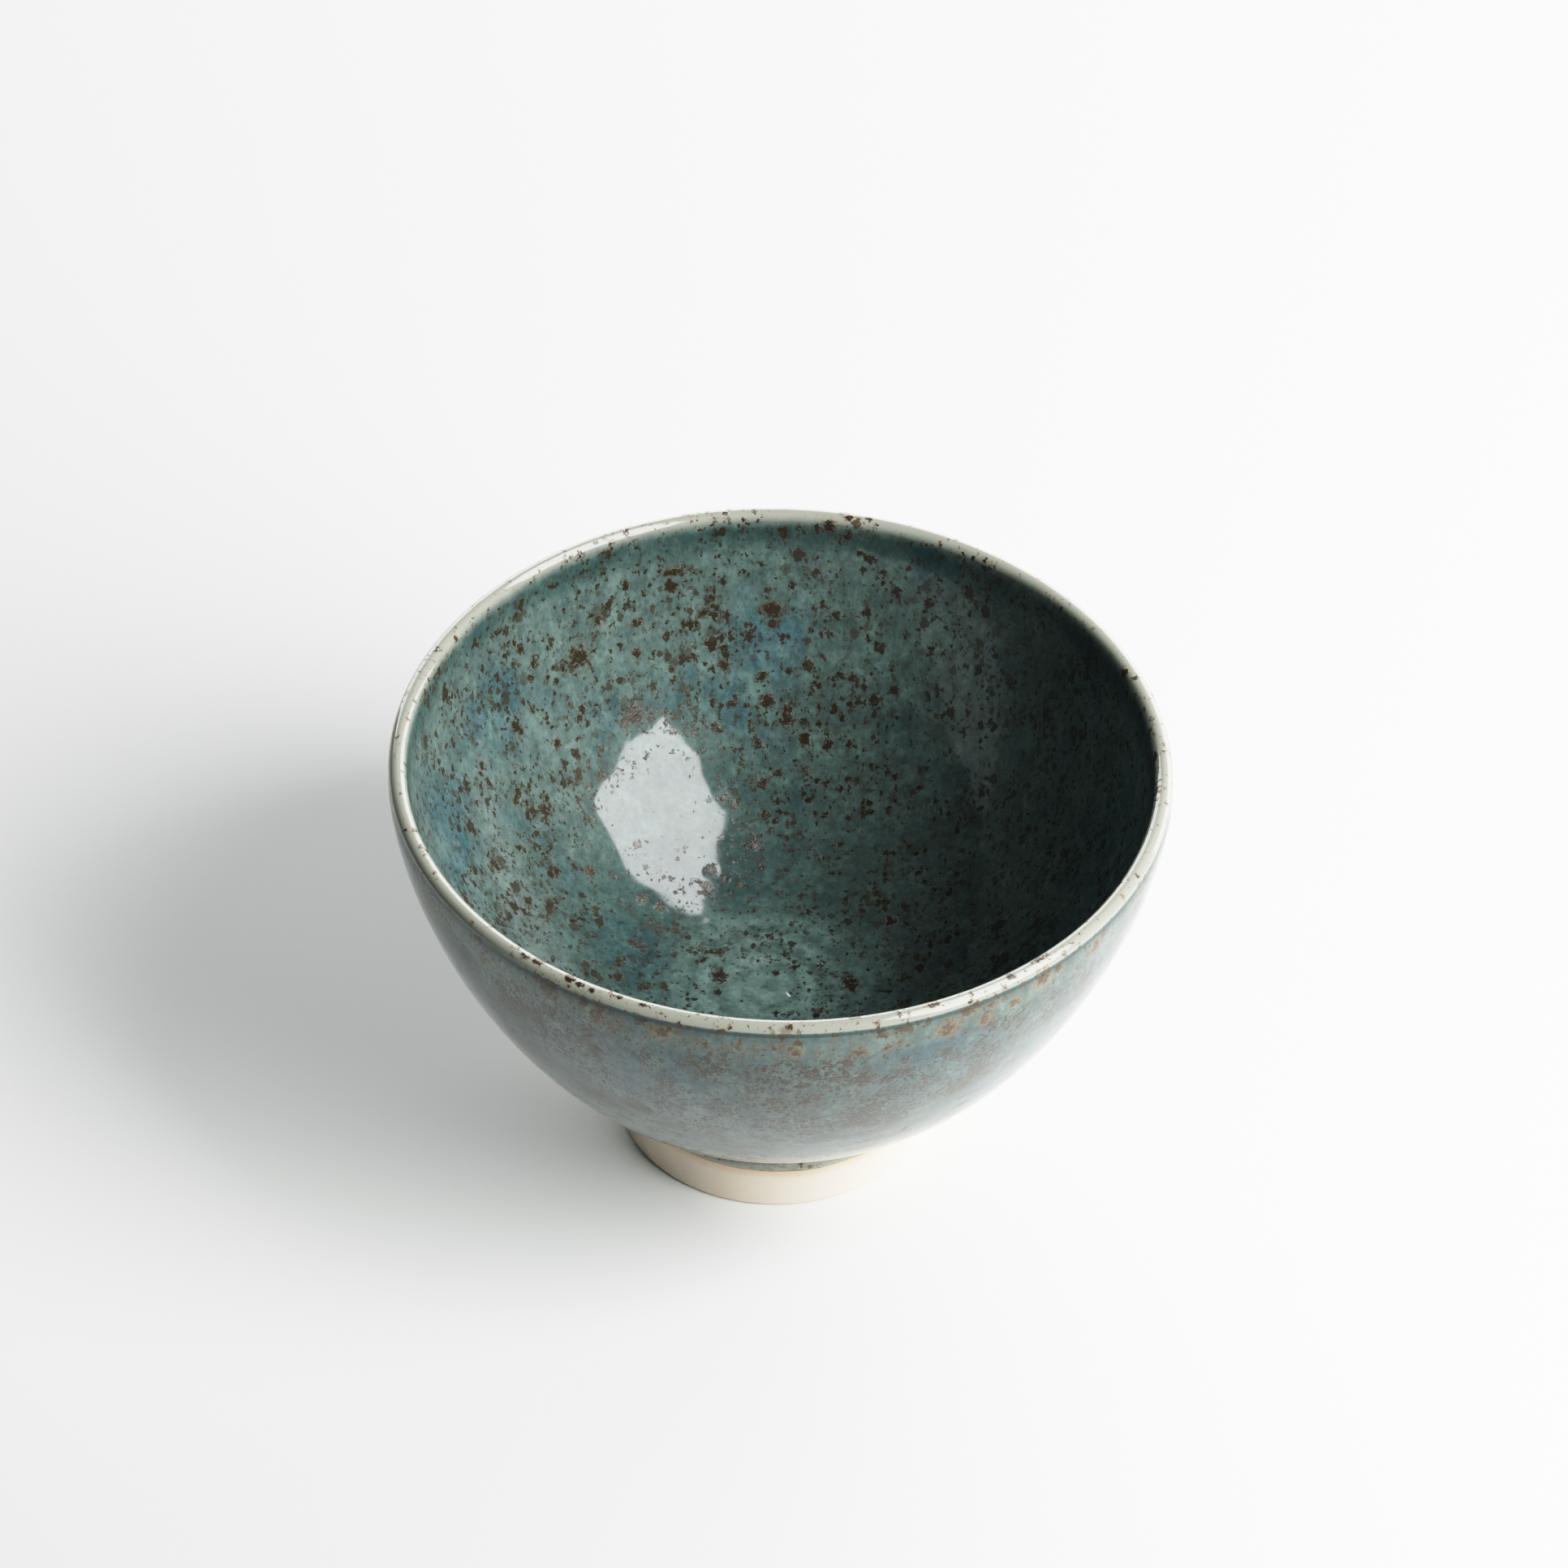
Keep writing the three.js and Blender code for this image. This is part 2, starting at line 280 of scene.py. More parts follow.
# The larger iron marks, which stand up as crusts and bleed rust down the wall: azimuth in degrees, drop, half width,
# half height and length of the run in millimetres, and strength of the stain
LARGE_MARKS = (
    Mark(128, 19.5, 1.7, 1.9, 5, 0.9),
    Mark(109, 10.0, 1.7, 0.7, 1, 1.0),
    Mark(104, 18.1, 1.0, 0.8, 2, 0.8),
    Mark(102, 17.3, 0.9, 0.7, 1, 0.5),
    Mark(100, 19.2, 0.7, 1.2, 1, 0.4),
    Mark(92, 18.2, 1.8, 1.3, 3, 1.0),
    Mark(92, 20.6, 1.0, 0.8, 2, 0.9),
    Mark(111, 21.1, 0.7, 1.0, 1, 0.6),
    Mark(107, 25.3, 1.0, 0.9, 1, 0.5),
    Mark(101, 24.4, 0.9, 0.8, 1, 0.4),
    Mark(101, 27.4, 0.9, 0.9, 1, 0.9),
    Mark(117, 22.4, 0.8, 0.8, 1, 0.8),
    Mark(93, 33.6, 1.2, 1.2, 1, 0.8),
    Mark(89, 36.1, 1.2, 1.8, 2, 0.8),
    Mark(94, 29.6, 1.0, 0.8, 1, 0.6),
    Mark(85, 40.1, 0.9, 1.1, 1, 0.6),
    Mark(80, 40.2, 0.9, 1.2, 1, 0.6),
    Mark(79, 28.7, 0.8, 0.9, 1, 0.4),
    Mark(72, 31.6, 1.0, 1.2, 2, 0.6),
    Mark(100, 33.8, 1.0, 0.8, 1, 0.4),
    Mark(104, 37.2, 1.1, 0.9, 1, 0.6),
    Mark(95, 40.7, 0.9, 0.9, 1, 0.4),
    Mark(120, 32.2, 1.3, 1.5, 2, 0.8),
    Mark(138, 30.7, 1.0, 0.9, 1, 0.7),
    Mark(135, 33.9, 0.8, 1.4, 2, 0.5),
    Mark(130, 28.0, 0.7, 1.0, 1, 0.4),
    Mark(123, 14.8, 0.8, 0.8, 1, 0.8),
    Mark(116, 17.3, 0.9, 0.8, 1, 0.9),
    Mark(137, 16.4, 0.9, 1.1, 1, 0.8),
    Mark(139, 12.6, 0.8, 0.9, 1, 0.8),
    Mark(76, 7.7, 1.2, 0.7, 1, 0.7),
    Mark(81, 18.9, 0.8, 1.0, 1, 0.5),
    Mark(96, 22.7, 0.8, 1.2, 1, 0.5),
    Mark(145, 23.9, 1.1, 1.6, 4, 0.8),
    Mark(163, 23.7, 1.0, 1.4, 2, 0.6),
    Mark(168, 28.5, 1.1, 1.6, 2, 0.8),
    Mark(151, 37.0, 0.9, 1.2, 2, 0.7),
    Mark(148, 38.4, 1.0, 1.4, 2, 0.8),
    Mark(153, 33.2, 0.7, 0.9, 1, 0.7),
    Mark(169, 35.7, 0.9, 1.1, 1, 0.8),
    Mark(170, 44.6, 0.9, 0.8, 1, 0.9),
    Mark(166, 48.5, 1.6, 0.9, 1, 0.9),
    Mark(178, 41.5, 1.0, 0.8, 1, 0.7),
    Mark(161, 63.8, 1.0, 1.4, 1, 0.5),
    Mark(138, 75.7, 1.1, 0.9, 0, 0.5),
    Mark(162, 78.4, 1.6, 1.5, 0, 0.5),
    Mark(98, 57.6, 1.2, 1.0, 0, 0.5),
    Mark(114, 60.7, 1.1, 1.2, 0, 0.5),
    Mark(148, 50.7, 0.8, 0.8, 1, 1.0),
    Mark(156, 46.4, 0.8, 1.0, 1, 0.5),
    Mark(141, 59.9, 1.2, 0.7, 0, 0.5),
    Mark(104, 48.9, 0.8, 0.8, 0, 0.4),
    Mark(173, 62.4, 1.4, 0.7, 0, 0.5),
    Mark(180, 62.6, 1.1, 0.9, 0, 0.6),
    Mark(183, 67.2, 1.1, 1.0, 0, 0.5),
    Mark(181, 69.9, 1.0, 0.9, 0, 0.4),
    Mark(39, 64.3, 1.4, 1.1, 0, 0.4),
    Mark(8, 75.8, 2.0, 1.5, 0, 0.7),
    Mark(13, 50.6, 1.2, 1.2, 0, 0.3),
    Mark(1, 50.7, 1.6, 1.4, 0, 0.4),
    Mark(80, 0.6, 0.9, 0.6, 1, 0.9),
    Mark(22, 1.6, 0.9, 1.0, 2, 0.9),
    Mark(231, -0.2, 1.0, 0.5, 0, 0.4),
    Mark(239, -0.1, 1.1, 0.7, 0, 0.7),
    Mark(241, -0.3, 0.8, 0.6, 0, 0.6),
    Mark(243, -0.4, 0.8, 0.6, 0, 0.6),
    Mark(247, -0.0, 0.9, 0.4, 0, 0.5),
    Mark(251, -0.2, 1.1, 0.4, 0, 0.6),
    Mark(272, -0.6, 0.6, 0.6, 0, 0.8),
    Mark(293, -0.1, 1.1, 0.5, 0, 1.0),
    Mark(306, -0.1, 0.8, 0.6, 0, 0.6),
    Mark(311, 0.1, 1.2, 0.5, 0, 0.9),
    Mark(199, 0.7, 0.6, 0.8, 0, 0.8),
    Mark(236, -3.7, 2.0, 2.0, 2, 0.6),
    Mark(244, -4.9, 1.2, 1.4, 2, 0.8),
    Mark(242, -3.2, 0.9, 0.9, 1, 0.5),
    Mark(254, -4.5, 1.3, 1.2, 2, 1.0),
    Mark(273, -5.9, 0.8, 0.9, 2, 1.0),
    Mark(251, -3.2, 1.1, 0.9, 1, 0.4),
    Mark(295, -5.5, 1.4, 1.7, 3, 1.0),
    Mark(298, -3.2, 1.3, 0.9, 2, 0.9),
    Mark(288, -3.2, 1.3, 0.9, 1, 0.7),
    Mark(285, -3.2, 1.0, 1.0, 1, 0.7),
    Mark(301, -6.6, 0.9, 1.2, 3, 1.0),
    Mark(302, -3.5, 0.8, 0.8, 1, 0.9),
    Mark(311, -3.5, 1.4, 1.3, 4, 1.0),
    Mark(306, -5.4, 0.8, 1.0, 2, 1.0),
    Mark(282, -6.8, 1.2, 0.7, 1, 0.9),
    Mark(280, -8.9, 1.3, 0.9, 1, 0.8),
    Mark(286, -6.7, 0.9, 0.7, 1, 0.7),
    Mark(289, -10.8, 0.9, 1.0, 1, 0.6),
    Mark(283, -14.2, 1.8, 2.2, 2, 0.6),
    Mark(287, -15.4, 1.6, 1.5, 2, 0.5),
    Mark(322, -4.7, 1.0, 1.2, 3, 1.0),
    Mark(314, -3.2, 0.9, 0.8, 1, 0.8),
    Mark(83, 2.6, 0.9, 1.2, 3, 0.9),
)
# Blue patches, where the glaze is thicker, and three at part strength that are painted shade: a cool tint over the
# right wall and floor, which lie in shadow
BLUE_AND_SHADE_PATCHES = (
    Patch(92, 23.7, 6.0),
    Patch(146, 18.4, 6.0),
    Patch(175, 25.0, 7.0),
    Patch(66, 6.0, 5.0),
    Patch(166, 65.0, 5.0),
    Patch(294, -13.8, 6.0),
    # Painted shade: a cool tint where the right wall and floor lie in shadow
    Patch(0, 22.0, 20.0, 0.5),
    Patch(320, 42.0, 20.0, 0.5),
    Patch(340, 66.0, 14.0, 0.4),
    Patch(256, -20.0, 8.0),
)
# Patches on which few specks show, and patches on which more do, by this share of it. The first calm patch is a
# painted highlight: it thins the specks where the softbox is mirrored, as if the reflection washed them out
CALM_AND_HIGHLIGHT_PATCHES = (Patch(121, 49.2, 8.5), Patch(200, 86.0, 9.0))
BUSY_PATCHES = (Patch(158, 17.0, 11.0), Patch(172, 33.0, 14.0), Patch(118, 32.0, 10.0))
BUSY_SHARE = 0.14
# Speck sizes: millimetres from speck to speck, how rare the speck is, and millimetres from its middle to its edge
SPECKS = ((0.75, 0.74, 0.58), (1.25, 0.77, 1.0), (2.3, 0.92, 1.5))


def iron_marks(section):
    """The large marks, and smaller ones strewn over the glaze from a fixed seed."""
    random = np.random.default_rng(MARK_SEED)
    marks = list(LARGE_MARKS)
    ends = section.bead_drop, section.drop[-1]
    while len(marks) < MARK_COUNT:
        drop = random.uniform(*ends)
        azimuth, pick, large, shape, bleed = random.uniform(0, 360), *random.uniform(size=4)
        radius, _, out_r, _ = section.at(drop)
        if pick * 60 < radius and (abs(drop) > LIP_REACH or bleed < 0.6):
            size = 0.3 + 0.2 * large**2 if abs(drop) < LIP_REACH else 0.35 + 0.4 * large**3
            tall = size * (0.75 + 0.7 * shape)
            marks.append(Mark(azimuth, drop, size, tall, 2.5 * size * abs(out_r), 0.9 * bleed))
    return marks


def stain(marks, drop, radius, angle):
    """Iron crust and rust stain round one ring of the glaze, each from 0 to 1."""
    iron = np.zeros_like(angle)
    rust = np.zeros_like(angle)
    for mark in marks:
        down = (drop - mark.drop) * (-1 if mark.drop < 0 else 1)
        if not -3 * mark.down < down < 3 * mark.down + 3 * mark.tail:
            continue
        side = (angle - np.radians(mark.azimuth) + np.pi) % (2 * np.pi) - np.pi
        side = np.abs(side * radius / mark.across)
        away = side**2 + (down / mark.down) ** 2
        iron = np.maximum(iron, np.exp(-(away**1.5)))
        halo = np.exp(-away / 2.6)
        if down > 0 and mark.tail > 0:
            # The glaze parted round the grain as it ran, and drew the iron out in two wings
            wings = np.exp(-(((side - 0.4 - 0.45 * down / mark.down) / 0.35) ** 2) - down / (1.1 * mark.down))
            iron = np.maximum(iron, 0.85 * wings)
            halo = np.maximum(halo, 0.8 * np.exp(-((side / 0.95) ** 2) - down / mark.tail))
        rust = np.maximum(rust, halo * mark.rust)
    return iron, rust


def patches(places, drop, radius, angle):
    """Share of these patches round one ring of the glaze."""
    total = np.zeros_like(angle)
    for patch in places:
        if (patch.drop < 0) == (drop < 0):
            side = (angle - np.radians(patch.azimuth) + np.pi) % (2 * np.pi) - np.pi
            total += patch.share * np.exp(-((side * radius) ** 2 + (drop - patch.drop) ** 2) / patch.size**2)
    return np.clip(total, 0, 1)


# Rings and meshes


def angles(count):
    return np.linspace(0, 2 * np.pi, count, endpoint=False)


def lathe(radius, height, count):
    """A ring of points. Radius and height are numbers, or one for each point."""
    angle = angles(count)
    flat = np.zeros_like(angle)
    return np.stack([radius * np.cos(angle), radius * np.sin(angle), height + flat], 1)


def plain_ring(radius, height, count, share=1.0, crease=False):
    none = np.zeros(count)
    return Ring(thrown(lathe(radius, height, count)), none, none, none, none, none, share, crease)


def face_ring(section, marks, drop, count, crease=False):
    """A ring on the glaze's face, with the glaze's own relief on it."""
    radius, height, out_r, out_z = section.at(drop)
    coat = BOND + section.coat(drop)
    angle = angles(count)
    level = lathe(radius + coat * out_r, height + coat * out_z, count)
    iron, rust = stain(marks, drop, max(radius, 0.01), angle)
    # Slow swells of the molten glaze, and the faint spiral that the fingers leave
    relief = 0.022 * grain(level, 7.0) + 0.014 * grain(level + 40, 3.2)
    relief += 0.004 * np.sin(2 * np.pi * drop / 4.8 + angle)
    # Iron crusts stand up, with a broken top
    relief += 0.05 * iron * (0.6 + 0.9 * grain(level, 0.9))
    if drop > 40:
        # Rings and the button left at the middle of the floor
        relief += 0.03 * smooth(24, 10, radius) * np.sin(2 * np.pi * radius / 3.3 + angle)
        relief += 0.35 * np.exp(-((level[:, 0] - 1.5) ** 2 + level[:, 1] ** 2) / 1.2**2)
    step = np.stack([np.cos(angle) * out_r, np.sin(angle) * out_r, np.full(count, out_z)], 1)
    points = thrown(level + relief[:, None] * step)
    blue, calm, busy = (
        patches(places, drop, radius, angle) for places in (BLUE_AND_SHADE_PATCHES, CALM_AND_HIGHLIGHT_PATCHES, BUSY_PATCHES)
    )
    return Ring(points, np.full(count, drop), iron, rust, blue, calm - BUSY_SHARE * busy, 1.0, crease)


def back_ring(section, drop, count, lift=BOND, crease=False):
    """A ring on the hidden back of a coat."""
    radius, height, out_r, out_z = section.at(drop)
    return plain_ring(radius + lift * out_r, height + lift * out_z, count, 0.05, crease)


def steps(start, end, size):
    return np.linspace(start, end, max(2, int(round(abs(end - start) / size)) + 1))


def shell(name, rings, looped, flip=False):
    """A closed mesh through rings of points, each with as many points as its neighbour, or twice or half as many.

    Its bake map opens the rings out flat round a centre, and a ring's share says how much room the way to it gets.
    """
    order = list(range(len(rings))) + ([0] if looped else [])
    counts = [len(r.points) for r in rings]
    starts = np.concatenate([[0], np.cumsum(counts)])
    reach = [float(np.mean(np.hypot(rings[0].points[:, 0], rings[0].points[:, 1])))]
    for i, j in zip(order, order[1:]):
        gap = np.linalg.norm(rings[i].points.mean(0) - rings[j].points.mean(0))
        wide = np.hypot(*rings[i].points[0, :2]) - np.hypot(*rings[j].points[0, :2])
        reach.append(reach[-1] + rings[j].share * max(np.hypot(gap, wide), 0.05))
    faces, corners = [], []
    for step, (i, j) in enumerate(zip(order, order[1:])):
        a, b = counts[i], counts[j]
        for k in range(max(a, b)):
            if a == b:
                ring = [(i, k), (i, k + 1), (j, k + 1), (j, k)]
            elif a > b:
                low, high = k * b // a, (k + 1) * b // a
                ring = [(i, k), (i, k + 1), (j, high)] + ([(j, low)] if high > low and b > 1 else [])
            else:
                low, high = k * a // b, (k + 1) * a // b
                ring = [(j, k + 1), (j, k), (i, low)] + ([(i, high)] if high > low and a > 1 else [])
            if flip:
                ring.reverse()
            faces.append([starts[r] + c % counts[r] for r, c in ring])
            for r, c in ring:
                turn = 2 * np.pi * ((k + 0.5) / max(a, b) if counts[r] == 1 else c / counts[r])
                far = reach[step] if r == i and not (looped and r == j) else reach[step + 1]
                corners += [far * np.cos(turn), far * np.sin(turn)]
    mesh = bpy.data.meshes.new(name)
    points = np.concatenate([r.points for r in rings]) / 1000
    mesh.from_pydata(points.tolist(), [], faces)
    mesh.shade_smooth()
    for field in FIELDS:
        values = np.concatenate([getattr(r, field) for r in rings])
        mesh.attributes.new(field, "FLOAT", "POINT").data.foreach_set("value", values.astype(np.float32))
    owner = np.repeat(np.arange(len(rings)), counts)
    creased = np.array([r.crease for r in rings])
    ends = np.empty(2 * len(mesh.edges), np.int32)
    mesh.edges.foreach_get("vertices", ends)
    first, second = owner[ends[::2]], owner[ends[1::2]]
    sharp = (first == second) & creased[first]
    mesh.attributes.new("sharp_edge", "BOOLEAN", "EDGE").data.foreach_set("value", sharp)
    room = 0.5 + 0.485 * np.array(corners) / max(reach)
    mesh.uv_layers.new(name="OFBake").data.foreach_set("uv", room.astype(np.float32))
    mesh.validate()
    return mesh


def place(mesh, replaced, material):
    """Adds a mesh to the scene in place of a CAD node."""
    mesh.materials.append(material)
    piece = bpy.data.objects.new(mesh.name, mesh)
    bpy.context.scene.collection.objects.link(piece)
    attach(piece, "root")
    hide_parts(replaced)
    return piece


# Materials


EASED = {"interpolation_type": "SMOOTHSTEP"}  # a Map Range that eases in and out
BLEND = {"data_type": "RGBA", "clamp_factor": True}  # a Mix of two colours
# Zones of the glaze: the drops where each begins and ends, and its share at these
ZONES = {
    "lip": (-2.05, -1.75, 0, 1),
    "groove": (-3.1, -2.6, 0, 1),
    "groove_top": (-1.9, -2.3, 0, 0.8),
    "pool": (2.4, 4.0, 0, 1),
    "pool_end": (9.0, 4.5, 0, 1),
    "floor": (38, 60, 0, 0.18),
}
OUTSIDE_ZONES = {
    "turn": (-3.0, -4.5, 0, 1),
    "lip_side": (-9.0, -6.0, 0, 1),
    "belly": (-4, -9, 0, 1),
    "foot": (-52, -30, 0.3, 0.9),
}


def node(tree, kind, inputs=(), **settings):
    """Adds a shader node with its settings, sets or links its inputs by name or in order, and gives its outputs."""
    added = tree.nodes.new("ShaderNode" + kind)
    for name, value in settings.items():
        setattr(added, name, value)
    for key, value in inputs.items() if isinstance(inputs, dict) else enumerate(inputs):
        if isinstance(value, bpy.types.NodeSocket):
            tree.links.new(value, added.inputs[key])
        else:
            added.inputs[key].default_value = value
    return added.outputs


def blank(name):
    """A material without nodes, and the way to add them."""
    material = bpy.data.materials.new(name)
    material.use_nodes = True
    material.node_tree.nodes.clear()
    return material, partial(node, material.node_tree)


def rgba(value):
    return (*value, 1.0)


def speckled_glaze(name, colours, outside=False):
    """Reduction-fired celadon with iron: glass over clay, so glossy and a little uneven, mottled where it is thick
    or thin, and broken by iron grains that have burnt through it. Thin over the lip, it shows the pale clay. Outside,
    where it was dipped thicker, much of the iron stays below its face and shows as soft brown smudges."""
    material, add = blank(name)
    mm = add("VectorMath", {0: add("TexCoord")["Object"], "Scale": 1000}, operation="SCALE")[0]
    drop, iron, rust, blue, calm = (add("Attribute", attribute_name=field)["Fac"] for field in FIELDS)
    height = add("SeparateXYZ", (mm,))["Z"]
    # The glaze ran a little while it was molten, so what is in it is drawn out down the walls
    run = add("VectorMath", (mm, (1, 1, 0.7)), operation="MULTIPLY")[0]
    # Millimetres across the lumps of each noise, its detail and roughness, and where it is taken
    lumps = {
        "cloud": (14, 3, 0.6, run),
        "veil": (5, 5, 0.65, run),
        "grain": (2, 4, 0.65, run),
        "fine": (0.8, 2, 0.6, run),
        "waver": (3, 3, 0.6, run),
        "crumbs": (0.7, 4, 0.7, mm),
        "drift": (7, 2, 0.5, mm),
        "flecks": (0.4, 2, 0.5, mm),
    }
    lumps |= {"smudge": (7, 3, 0.6, mm)} if outside else {"sheen_arcs": (9, 3, 0.6, run), "floor_sheen": (7, 3, 0.6, run)}
    clouds = {
        key: add("TexNoise", {"Vector": where, "Scale": 1 / size, "Detail": detail, "Roughness": rough})["Fac"]
        for key, (size, detail, rough, where) in lumps.items()
    }
    ends = ZONES | OUTSIDE_ZONES if outside else ZONES
    zones = {key: add("MapRange", (drop, *places), **EASED)[0] for key, places in ends.items()}

    # Clouds 14 mm across turn it blue, clouds 5 mm across turn it pale, and it is grainy at 2 and 0.8 mm
    # The blue share also holds painted shade, a cool tint over the shaded right wall and floor
    bluer = add("Math", (blue, 0.55 if outside else 0.4, clouds["cloud"]), operation="MULTIPLY_ADD")[0]
    bluer = add("MapRange", (bluer, 0.35 if outside else 0.45, 0.85, 0, 0.8), **EASED)[0]
    tint = add("Mix", {0: bluer, 6: rgba(colours.green), 7: rgba(colours.blue)}, **BLEND)[2]
    veil = add("MapRange", (clouds["veil"], 0.4, 0.75, 0, 0.7), **EASED)[0]
    if outside:
        # Thin on the turn below the lip
        turn = add("Math", (zones["turn"], zones["lip_side"]), operation="MULTIPLY")[0]
        veil = add("Math", (turn, 0.4, veil), operation="MULTIPLY_ADD")[0]
    tint = add("Mix", {0: veil, 6: tint, 7: rgba(colours.pale)}, **BLEND)[2]
    if not outside:
        # Painted light over the middle of the floor, which is paler there, with pale curves that follow the rings left
        # in the clay: a painted reflection of those rings
        far = add("VectorMath", (mm, (-1, 1, 23)), operation="DISTANCE")["Value"]
        sheen_arcs = add("Math", (far, 1.5), operation="MULTIPLY")[0]
        sheen_arcs = add("Math", (clouds["sheen_arcs"], 9.0, sheen_arcs), operation="MULTIPLY_ADD")[0]
        sheen_arcs = add("Math", (sheen_arcs,), operation="SINE")[0]
        sheen_arcs = add("Math", (sheen_arcs, 0.12, clouds["floor_sheen"]), operation="MULTIPLY_ADD")[0]
        sheen_arcs = add("MapRange", (sheen_arcs, 0.3, 0.7, 0.4, 1), **EASED)[0]
        floor_sheen = add("MapRange", (far, 24, 6, 0, 1), **EASED)[0]
        floor_sheen = add("Math", (floor_sheen, sheen_arcs), operation="MULTIPLY")[0]
        tint = add("Mix", {0: floor_sheen, 6: tint, 7: rgba(colours.floor_sheen)}, **BLEND)[2]
    body = 0.82 if outside else 1
    grains = add("MapRange", (clouds["grain"], 0.3, 0.7, 0.8 * body, 1.15 * body), **EASED)[0]
    fine = add("MapRange", (clouds["fine"], 0.3, 0.7, 0.85, 1.1), **EASED)[0]
    grains = add("Math", (grains, fine), operation="MULTIPLY")[0]
    tint = add("VectorMath", {0: tint, "Scale": grains}, operation="SCALE")[0]

    # Pooled: in a band under the lip inside and over the floor, and in the groove outside
    band = add("Math", (zones["pool"], zones["pool_end"]), operation="MULTIPLY")[0]
    band = add("Math", (band, clouds["cloud"]), operation="MULTIPLY")[0]
    groove = add("Math", (zones["groove"], zones["groove_top"]), operation="MULTIPLY")[0]
    pooled = add("Math", (band, zones["floor"]), operation="MAXIMUM")[0]
    pooled = add("Math", (pooled, groove), operation="MAXIMUM")[0]
    tint = add("Mix", {0: pooled, 6: tint, 7: rgba(colours.deep)}, **BLEND)[2]

    # Over the lip it is so thin that it is pale: a soft edge inside, a sharper one outside
    waver = add("Math", (clouds["waver"], 1.2, drop), operation="MULTIPLY_ADD")[0]
    thin = add("MapRange", (waver, 4.0, 1.4, 0, 1), **EASED)[0]
    thin = add("Math", (thin, zones["lip"]), operation="MULTIPLY")[0]
    if outside:
        # and so it is where it runs out on the foot
        low = add("Math", (clouds["cloud"], -4.0, height), operation="MULTIPLY_ADD")[0]
        low = add("MapRange", (low, 9.6, 7.4, 0, 0.7), **EASED)[0]
        thin = add("Math", (thin, low), operation="MAXIMUM")[0]
    tint = add("Mix", {0: thin, 6: tint, 7: rgba(colours.lip)}, **BLEND)[2]
    near_lip = add("Math", (thin, zones["lip_side"]), operation="MAXIMUM")[0] if outside else thin
    bled = add("Mix", {0: near_lip, 6: rgba(colours.rust), 7: rgba(colours.tan)}, **BLEND)[2]

    # Iron specks from 0.2 to 1.4 mm across: ragged, in drifts, some of them sunk in the glaze. Depth is how far inside
    # the outline of a speck a point lies, in millimetres.
    crumbs = clouds["crumbs"]
    ragged = add("TexNoise", {"Vector": mm, "Scale": 1 / 0.9, "Detail": 4, "Roughness": 0.7})["Color"]
    ragged = add("VectorMath", (ragged, (0.5, 0.5, 0.5)), operation="SUBTRACT")[0]
    spread = add("VectorMath", (ragged, (1.9, 1.9, 1.9), run), operation="MULTIPLY_ADD")[0]
    drift = add("Math", (clouds["drift"], 1.3, -0.15), operation="MULTIPLY_ADD")[0]
    depth, strength = None, None
    for cell, rarity, reach in SPECKS:
        cells = add("TexVoronoi", {"Vector": spread, "Scale": 1 / cell, "Exponent": 0.9}, distance="MINKOWSKI")
        pick = add("SeparateColor", (cells["Color"],))
        size = add("Math", (drift, pick[0]), operation="ADD")[0]
        size = add("MapRange", (size, rarity, 1.5, 0, reach))[0]
        within = add("Math", (cells["Distance"], -cell, size), operation="MULTIPLY_ADD")[0]
        shown = add("MapRange", (pick[1], 0, 0.8, 0.3, 0.95), **EASED)[0]
        if depth is None:
            depth, strength = within, shown
        else:
            nearer = add("Math", (within, depth), operation="GREATER_THAN")[0]
            depth = add("Math", (within, depth), operation="MAXIMUM")[0]
            strength = add("Mix", {0: nearer, 2: strength, 3: shown})[0]
    # Fewer specks on the calm patches, the first of them a painted highlight under the mirrored softbox
    fewer = add("Math", (calm, -0.8, depth), operation="MULTIPLY_ADD")[0]
    fewer = add("Math", (thin, -0.22, fewer), operation="MULTIPLY_ADD")[0]
    core = add("MapRange", (fewer, 0, 0.12, 0, 0.85 if outside else 1), **EASED)[0]
    core = add("Math", (core, strength), operation="MULTIPLY")[0]
    halo = add("MapRange", (fewer, -0.2, 0.06, 0, 0.7), **EASED)[0]
    halo = add("Math", (halo, strength), operation="MULTIPLY")[0]

    # The large marks: a broken crust, and a stain that bleeds from it
    crust = add("Math", (crumbs, 3.0, iron), operation="MULTIPLY_ADD")[0]
    crust = add("MapRange", (crust, 1.8, 2.25, 0, 0.8 if outside else 0.95), **EASED)[0]
    inside_mark = add("MapRange", (iron, 0.03, 0.25, 0, 1), **EASED)[0]
    crust = add("Math", (crust, inside_mark), operation="MULTIPLY")[0]
    core = add("Math", (core, crust), operation="MAXIMUM")[0]
    bleed = add("Math", (crumbs, 2.0, rust), operation="MULTIPLY_ADD")[0]
    bleed = add("MapRange", (bleed, 1.25, 1.9, 0, 0.85), **EASED)[0]
    inside_stain = add("MapRange", (rust, 0.05, 0.35, 0, 1), **EASED)[0]
    bleed = add("Math", (bleed, inside_stain), operation="MULTIPLY")[0]
    halo = add("Math", (halo, bleed), operation="MAXIMUM")[0]
    if outside:
        # Sunk iron, in smudges about 7 mm across made of drops about 1 mm across, most of all round the belly
        drops = add("Math", (crumbs, 1.2, clouds["smudge"]), operation="MULTIPLY_ADD")[0]
        drops = add("MapRange", (drops, 1.12, 1.26, 0, 1), **EASED)[0]
        below = add("Math", (zones["belly"], zones["foot"]), operation="MULTIPLY")[0]
        drops = add("Math", (drops, below), operation="MULTIPLY")[0]
        tint = add("Mix", {0: drops, 6: tint, 7: rgba(colours.haze)}, **BLEND)[2]
    tint = add("Mix", {0: halo, 6: tint, 7: bled}, **BLEND)[2]
